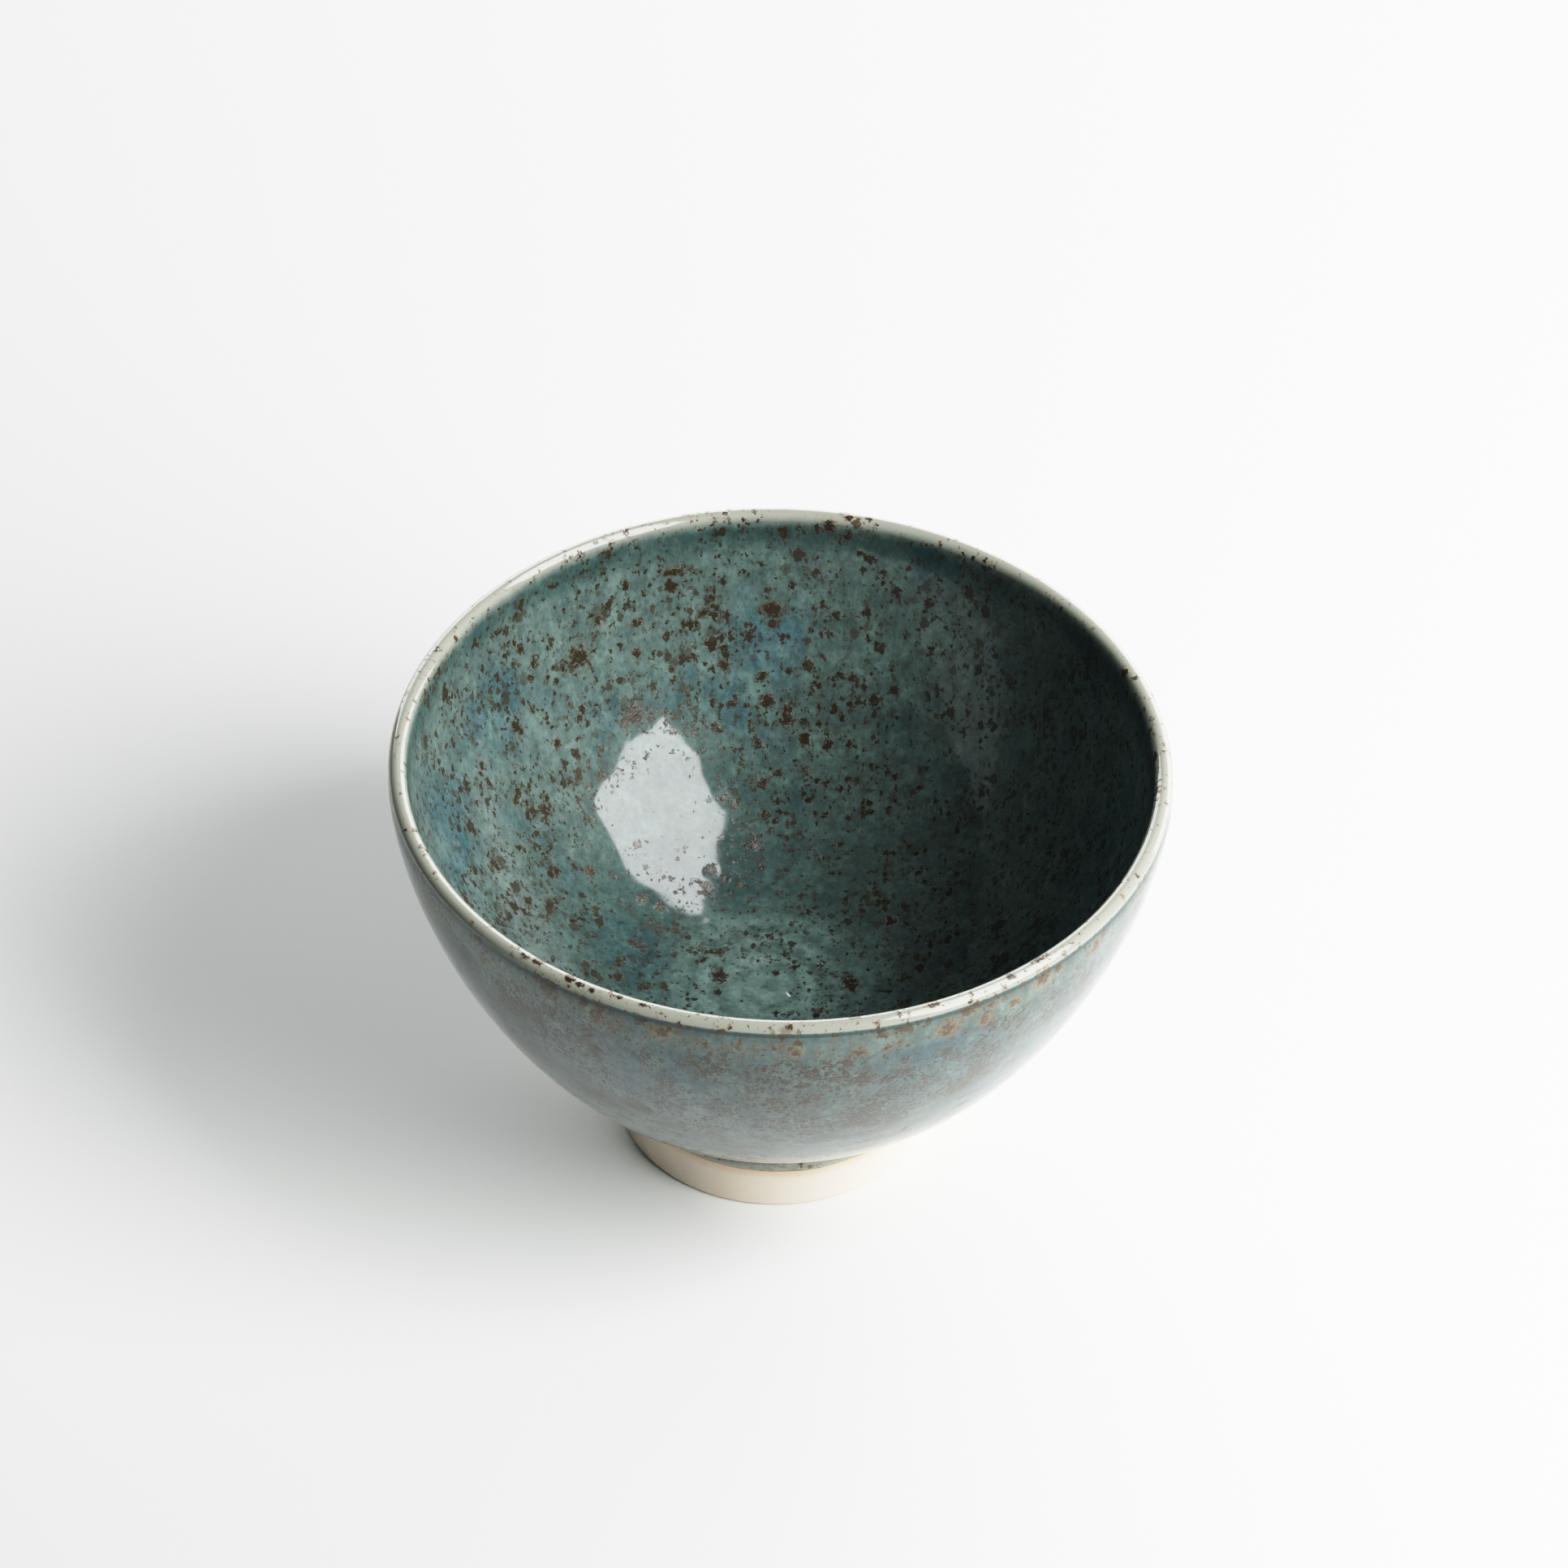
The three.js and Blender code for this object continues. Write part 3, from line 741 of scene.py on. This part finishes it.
    # Flecks 0.4 mm across of lighter brown in the crust
    flecks = add("MapRange", (clouds["flecks"], 0.52, 0.72, 0, 0.6), **EASED)[0]
    flecked = add("Mix", {0: flecks, 6: rgba(colours.iron), 7: bled}, **BLEND)[2]
    tint = add("Mix", {0: core, 6: tint, 7: flecked}, **BLEND)[2]

    # Specks stand about 0.05 mm proud, and are as glassy as the rest
    raised = add("Math", (core, crumbs), operation="MULTIPLY")[0]
    raised = add("Bump", {"Strength": 1.0, "Distance": 0.0001, "Height": raised})[0]
    inputs = {"Base Color": tint, "Roughness": 0.07, "Normal": raised, "IOR": 1.55}
    add("OutputMaterial", {"Surface": add("BsdfPrincipled", inputs)[0]})
    return material


def bare_clay(name, colours, glaze_line):
    """Fine stoneware, turned and fired bare: matt and pale, with fine grit and a warm flash beside
    the glaze. Its faint tool rings are in the meshes, not in the material."""
    material, add = blank(name)
    mm = add("VectorMath", {0: add("TexCoord")["Object"], "Scale": 1000}, operation="SCALE")[0]
    height = add("SeparateXYZ", (mm,))["Z"]
    cloud = add("TexNoise", {"Vector": mm, "Scale": 1 / 9, "Detail": 4})["Fac"]
    waver = add("Math", (cloud, 1.6, height), operation="MULTIPLY_ADD")[0]
    flash = add("MapRange", (waver, glaze_line - 0.9, glaze_line + 1.0, 0, 0.7), **EASED)[0]
    tint = add("Mix", {0: flash, 6: rgba(colours.clay), 7: rgba(colours.blush)}, **BLEND)[2]
    # Grit 0.25 mm across, and a few dark grains 2.2 mm apart
    grit = add("TexNoise", {"Vector": mm, "Scale": 1 / 0.25, "Detail": 2})["Fac"]
    shade = add("MapRange", (grit, 0, 1, 0.92, 1.08))[0]
    tint = add("VectorMath", {0: tint, "Scale": shade}, operation="SCALE")[0]
    dots = add("TexVoronoi", {"Vector": mm, "Scale": 1 / 2.2})
    pick = add("SeparateColor", (dots["Color"],))[0]
    pick = add("MapRange", (pick, 0.93, 1, 0, 0.12))[0]
    dot = add("Math", (pick, dots["Distance"]), operation="SUBTRACT")[0]
    dot = add("MapRange", (dot, 0, 0.06, 0, 0.6))[0]
    tint = add("Mix", {0: dot, 6: tint, 7: rgba(colours.rust)}, **BLEND)[2]
    raised = add("Bump", {"Strength": 1.0, "Distance": 0.00002, "Height": grit})[0]
    inputs = {"Base Color": tint, "Roughness": 0.75, "Normal": raised, "IOR": 1.5}
    add("OutputMaterial", {"Surface": add("BsdfPrincipled", inputs)[0]})
    return material


def clay_material(scene):
    name = "Fine stoneware, turned and bare"
    found = bpy.data.materials.get(name)
    return found or bare_clay(name, scene.tea_bowl_colours, 1000 * scene.tea_bowl_form.glaze_line)


# Pieces


class TEABOWL_OT_clay_bowl(bpy.types.Operator):
    """Adds the thrown clay bowl, which shows only in the recess under the foot"""

    bl_idname = "teabowl.clay_bowl"
    bl_label = "Clay bowl"

    def execute(self, context):
        section = Section(context.scene.tea_bowl_form)
        base = section.mm["foot_height"] + BOND
        seam = section.at(section.seam_drop)[0]
        rings = [plain_ring(0, base - TOOL_BUTTON, 1)]
        for radius in steps(1.0, 24.0, 0.35):
            count = 360 if radius > 8 else 180 if radius > 4 else 90 if radius > 2 else 45
            # Tool rings and the small button where the tool was lifted
            tool = 0.05 * np.sin(2 * np.pi * radius / 1.7 + angles(count)) * smooth(19, 17, radius)
            button = TOOL_BUTTON * np.exp(-((radius / 2.2) ** 2))
            rings.append(plain_ring(radius, base - button + tool, count))
        rings.append(plain_ring(seam, base, 180, 0.05))
        for drop in steps(section.seam_drop + 0.5, section.drop[-1] - 2, 2.0):
            rings.append(back_ring(section, drop, 180, 0))
        rings.append(back_ring(section, section.drop[-1] - 1, 90, 0))
        rings.append(back_ring(section, section.drop[-1], 1, 0))
        place(shell("Clay_bowl", rings, False), "clay_bowl", clay_material(context.scene))
        return {"FINISHED"}


class TEABOWL_OT_foot_ring(bpy.types.Operator):
    """Adds the turned foot ring of bare clay"""

    bl_idname = "teabowl.foot_ring"
    bl_label = "Foot ring"

    def execute(self, context):
        section = Section(context.scene.tea_bowl_form)
        mm = section.mm
        outer = section.foot_radius
        inner = outer - mm["foot_wall"]
        top = mm["foot_height"] + BOND
        edge = FOOT_EDGE
        outline = [np.array([inner - RECESS_TAPER, top])]
        outline += [np.array([inner - RECESS_TAPER * z / top, z]) for z in steps(top - 0.4, edge, 0.4)[:-1]]
        outline += list(arc((inner + edge, edge), edge, 180, 270, 7))
        outline += [np.array([r, 0]) for r in steps(inner + edge, outer - edge, 0.5)[1:-1]]
        outline += list(arc((outer - edge, edge), edge, 270, 360, 7))
        outline += [np.array([outer, z]) for z in steps(edge, 12, 0.35)[1:]]
        rings = []
        for i, (radius, height) in enumerate(outline):
            # Lines left by the turning tool, and a face that is rubbed flat where it stands
            tool = 0.02 * np.sin(2 * np.pi * height / 1.3) * smooth(0.8, 2.0, height) * smooth(15.5, 14, height)
            points = lathe(radius, height, 360)
            uneven = tool + 0.02 * grain(points, 5.0) * (height > 0.7)
            side = 1 if i > len(outline) / 2 else -1
            rings.append(plain_ring(radius + side * uneven, height, 360, 1.0, i == 0))
        cove = steps(section.drop_at(12.5, True), section.seam_drop, 0.6)
        rings += [back_ring(section, drop, 360, 0) for drop in cove]
        rings.append(plain_ring(section.at(section.seam_drop)[0] - 0.3, top, 360, 0.05))
        place(shell("Foot_ring", rings, True), "foot_ring", clay_material(context.scene))
        return {"FINISHED"}


class TEABOWL_OT_inside_glaze(bpy.types.Operator):
    """Adds the coat of glaze that was poured inside"""

    bl_idname = "teabowl.inside_glaze"
    bl_label = "Inside glaze"

    def execute(self, context):
        section = Section(context.scene.tea_bowl_form)
        marks = iron_marks(section)
        middle = section.drop[-1]
        rings = [face_ring(section, marks, middle, 1)]
        for drop in steps(middle - 0.4, section.rim_inside, ROW):
            radius = section.at(drop)[0]
            count = COLUMNS
            while count > 45 and radius < 33 * count / COLUMNS:
                count //= 2
            rings.append(face_ring(section, marks, drop, count))
        rings[-1] = rings[-1]._replace(crease=True)
        rings.append(back_ring(section, section.rim_inside, COLUMNS, crease=True))
        rings.append(back_ring(section, section.rim_inside + 1, COLUMNS // 2))
        for drop in steps(section.rim_inside + 2, middle - 4, HIDDEN_ROW):
            rings.append(back_ring(section, drop, COLUMNS // 4))
        rings.append(back_ring(section, middle - 2, COLUMNS // 8))
        rings.append(back_ring(section, middle, 1))
        glaze = speckled_glaze("Iron celadon glaze, poured inside", context.scene.tea_bowl_colours)
        place(shell("Inside_glaze", rings, False, True), "inside_glaze", glaze)
        return {"FINISHED"}


class TEABOWL_OT_rim_glaze(bpy.types.Operator):
    """Adds the thin coat of glaze over the lip"""

    bl_idname = "teabowl.rim_glaze"
    bl_label = "Rim glaze"

    def execute(self, context):
        section = Section(context.scene.tea_bowl_form)
        marks = iron_marks(section)
        ends = section.rim_outside, section.rim_inside
        rings = [face_ring(section, marks, drop, COLUMNS) for drop in steps(*ends, 0.22)]
        rings[0] = rings[0]._replace(crease=True)
        rings[-1] = rings[-1]._replace(crease=True)
        rings.append(back_ring(section, ends[1], COLUMNS, crease=True))
        back = steps(ends[1] - 0.3, ends[0] + 0.3, 0.35)
        rings += [back_ring(section, drop, COLUMNS // 2) for drop in back]
        rings.append(back_ring(section, ends[0], COLUMNS, crease=True))
        glaze = speckled_glaze("Iron celadon glaze, thin over the lip", context.scene.tea_bowl_colours)
        place(shell("Rim_glaze", rings, True), "rim_glaze", glaze)
        return {"FINISHED"}


class TEABOWL_OT_outside_glaze(bpy.types.Operator):
    """Adds the coat of glaze that was dipped outside, down to the glaze line on the foot"""

    bl_idname = "teabowl.outside_glaze"
    bl_label = "Outside glaze"

    def execute(self, context):
        section = Section(context.scene.tea_bowl_form)
        marks = iron_marks(section)
        half = COLUMNS // 2
        angle = angles(half)
        line = section.mm["glaze_line"] + 0.22 * np.cos(angle + 1.2) + 0.12 * np.cos(3 * angle)
        line += 0.18 * grain(lathe(section.foot_radius, 0, half), 4.0)
        bead = section.mm["glaze_line"] + BEAD_HEIGHT
        wall = BOND + section.mm["glaze_thickness"]
        rings = []
        for share in np.linspace(0, 1, 14):
            rise = np.sin(np.pi / 2 * share)
            coat = wall * rise + BEAD_SWELL * np.sin(np.pi * share) + 0.02
            points = thrown(lathe(section.foot_radius + coat, line + (bead - line) * share, half))
            below = face_ring(section, marks, section.bead_drop - 3 * (1 - share), half)
            rings.append(below._replace(points=points, crease=share == 0))
        for drop in steps(section.bead_drop, section.rim_outside, ROW)[1:]:
            radius = section.at(drop)[0]
            rings.append(face_ring(section, marks, drop, COLUMNS if radius > 44 else half))
        rings[-1] = rings[-1]._replace(crease=True)
        rings.append(back_ring(section, section.rim_outside, COLUMNS, crease=True))
        rings.append(back_ring(section, section.rim_outside - 1, half))
        for drop in steps(section.rim_outside - 2, section.seam_drop, HIDDEN_ROW):
            rings.append(back_ring(section, drop, half // 2))
        for drop in steps(section.seam_drop - 0.5, section.bead_drop + 1, 0.7):
            rings.append(back_ring(section, drop, half // 2))
        rings.append(back_ring(section, section.bead_drop, half, 0))
        rings.append(plain_ring(section.foot_radius - 0.04, line, half, 0.05, True))
        glaze = speckled_glaze("Iron celadon glaze, dipped outside", context.scene.tea_bowl_colours, outside=True)
        place(shell("Outside_glaze", rings, True), "outside_glaze", glaze)
        return {"FINISHED"}


# Studio

FLOOR_RADII = (200, 600, 1200, 3000)  # millimetres
FLOOR_SIDES = 96
# The softbox stands on the right, and a lit white board behind: width, height and middle in metres, and axes
SOFTBOX_SIZE = (0.506, 0.576)
SOFTBOX_SPOT = (0.5649, -0.2391, 0.4989)
SOFTBOX_AXES = ((0.9147, 0.4041, 0), (-0.27, 0.6112, 0.744), (0.3006, -0.6805, 0.6682))
BOARD_SIZE = (2.536, 0.65)
BOARD_SPOT = (0.59, 0.9, 0.33)
BOARD_AXES = ((1, 0, 0), (0, 0, -1), (0, 1, 0))
# Corners of the cloth that the glaze mirrors
WINDOW = (
    (0.74, -0.79, 0.46),
    (0.55, -0.75, 0.74),
    (0.34, -0.41, 1.09),
    (0.21, 0.33, 1.17),
    (0.16, 0.65, 1.02),
    (0.35, 0.5, 1.06),
    (0.89, 0.01, 0.81),
    (1.03, -0.15, 0.57),
    (0.93, -0.52, 0.5),
)

ROOM_COLOUR = (0.85, 1, 1, 1)
# A long lens from 44 degrees above, turned a little about its own axis: right, up, back and place in metres
LENS = 130.43  # millimetres, on a sensor 36 mm wide
CAMERA_AXES = (
    (0.99974205, 0.01481389, 0.0172159),
    (-0.02270388, 0.6722091, 0.74001314),
    (-0.00061021, -0.74021312, 0.67237204),
)
CAMERA_SPOT = (0, -0.646254, 0.654490)
# Film with a toe, and a shoulder that keeps the paper just below white: scene light, and light shown
FILM_END = (3.5, 1)
FILM = (
    (0.025, 0.012),
    (0.05, 0.027),
    (0.1, 0.067),
    (0.2, 0.18),
    (0.4, 0.4),
    (0.55, 0.55),
    (0.75, 0.703),
    (1, 0.823),
    (1.3, 0.905),
    (1.7, 0.959),
    (2.4, 0.99),
)


def standing(axes, spot):
    """The matrix of an object whose own axes and origin are these."""
    return Matrix([(*row, p) for row, p in zip(zip(*axes), spot)] + [(0, 0, 0, 1)])


class TEABOWL_OT_stage(bpy.types.Operator):
    """Adds the paper floor, the lights, the dim room, the camera and the film"""

    bl_idname = "teabowl.stage"
    bl_label = "Stage"

    def execute(self, context):
        scene = context.scene
        stage = scene.tea_bowl_stage
        link = scene.collection.objects.link

        # White paper, matt
        paper, add = blank("Matt white paper")
        inputs = {"Base Color": rgba(stage.paper), "Roughness": 0.9}
        add("OutputMaterial", {"Surface": add("BsdfPrincipled", inputs)[0]})
        points = [[0, 0, 0]]
        faces = []
        for i, radius in enumerate(FLOOR_RADII):
            points += (lathe(radius, 0, FLOOR_SIDES) / 1000).tolist()
            near, far = 1 + (i - 1) * FLOOR_SIDES, 1 + i * FLOOR_SIDES
            for k in range(FLOOR_SIDES):
                after = (k + 1) % FLOOR_SIDES
                if i == 0:
                    faces.append((0, far + k, far + after))
                else:
                    faces.append((near + k, far + k, far + after, near + after))
        mesh = bpy.data.meshes.new("Paper_sweep")
        mesh.from_pydata(points, [], faces)
        mesh.shade_smooth()
        mesh.materials.append(paper)
        floor = bpy.data.objects.new("Paper_sweep", mesh)
        link(floor)

        # The softbox and the board give the light, and the softbox's cloth is what the glaze mirrors
        for name, size, axes, spot, power in (
            ("Softbox", SOFTBOX_SIZE, SOFTBOX_AXES, SOFTBOX_SPOT, stage.softbox),
            ("Board", BOARD_SIZE, BOARD_AXES, BOARD_SPOT, stage.board),
        ):
            data = bpy.data.lights.new(name, "AREA")
            data.shape = "RECTANGLE"
            data.size, data.size_y = size
            data.energy = power
            light = bpy.data.objects.new(name, data)
            light.matrix_world = standing(axes, spot)
            light.visible_camera = False
            light.visible_glossy = name == "Board"
            link(light)
        glow, add = blank("Softbox cloth")
        inputs = {"Color": (1, 1, 1, 1), "Strength": stage.window}
        add("OutputMaterial", {"Surface": add("Emission", inputs)[0]})
        mesh = bpy.data.meshes.new("Window")
        middle = np.mean(WINDOW, axis=0).tolist()
        edges = len(WINDOW)
        mesh.from_pydata([*WINDOW, middle], [], [(i, (i + 1) % edges, edges) for i in range(edges)])
        mesh.materials.append(glow)
        window = bpy.data.objects.new("Window", mesh)
        window.visible_camera = False
        window.visible_diffuse = False
        link(window)

        world = bpy.data.worlds.new("Dim room")
        world.use_nodes = True
        background = world.node_tree.nodes["Background"]
        background.inputs["Color"].default_value = ROOM_COLOUR
        background.inputs["Strength"].default_value = stage.room
        world.cycles_visibility.glossy = False
        scene.world = world

        data = bpy.data.cameras.new("Camera")
        data.sensor_width = 36
        data.lens = LENS
        camera = bpy.data.objects.new("Camera", data)
        camera.matrix_world = standing(CAMERA_AXES, CAMERA_SPOT)
        link(camera)
        scene.camera = camera

        view = scene.view_settings
        view.view_transform = "Standard"
        view.use_curve_mapping = True
        film = view.curve_mapping
        film.clip_max_x = 4
        curve = film.curves[3]
        curve.points[-1].location = FILM_END
        for light, shown in FILM:
            curve.points.new(light, shown)
        film.update()
        return {"FINISHED"}


PIECES = (
    TEABOWL_OT_clay_bowl,
    TEABOWL_OT_foot_ring,
    TEABOWL_OT_inside_glaze,
    TEABOWL_OT_rim_glaze,
    TEABOWL_OT_outside_glaze,
    TEABOWL_OT_stage,
)


class TEABOWL_PT_panel(bpy.types.Panel):
    """Sizes, colours and pieces of the tea bowl"""

    bl_idname = "TEABOWL_PT_panel"
    bl_label = "Tea bowl"
    bl_space_type = "VIEW_3D"
    bl_region_type = "UI"
    bl_category = "Tea bowl"

    def draw(self, context):
        scene = context.scene
        for group in (scene.tea_bowl_form, scene.tea_bowl_colours, scene.tea_bowl_stage):
            column = self.layout.column(align=True)
            for name in own_names(group):
                column.prop(group, name)
        for piece in PIECES:
            self.layout.operator(piece.bl_idname)


CLASSES = (TeaBowlForm, TeaBowlColours, TeaBowlStage, *PIECES, TEABOWL_PT_panel)


def register():
    for entry in CLASSES:
        bpy.utils.register_class(entry)
    bpy.types.Scene.tea_bowl_form = PointerProperty(type=TeaBowlForm)
    bpy.types.Scene.tea_bowl_colours = PointerProperty(type=TeaBowlColours)
    bpy.types.Scene.tea_bowl_stage = PointerProperty(type=TeaBowlStage)


def unregister():
    del bpy.types.Scene.tea_bowl_stage
    del bpy.types.Scene.tea_bowl_colours
    del bpy.types.Scene.tea_bowl_form
    for entry in reversed(CLASSES):
        bpy.utils.unregister_class(entry)


def main():
    register()
    bpy.ops.teabowl.clay_bowl()
    bpy.ops.teabowl.foot_ring()
    bpy.ops.teabowl.inside_glaze()
    bpy.ops.teabowl.rim_glaze()
    bpy.ops.teabowl.outside_glaze()
    bpy.ops.teabowl.stage()


if __name__ == "__main__":
    main()
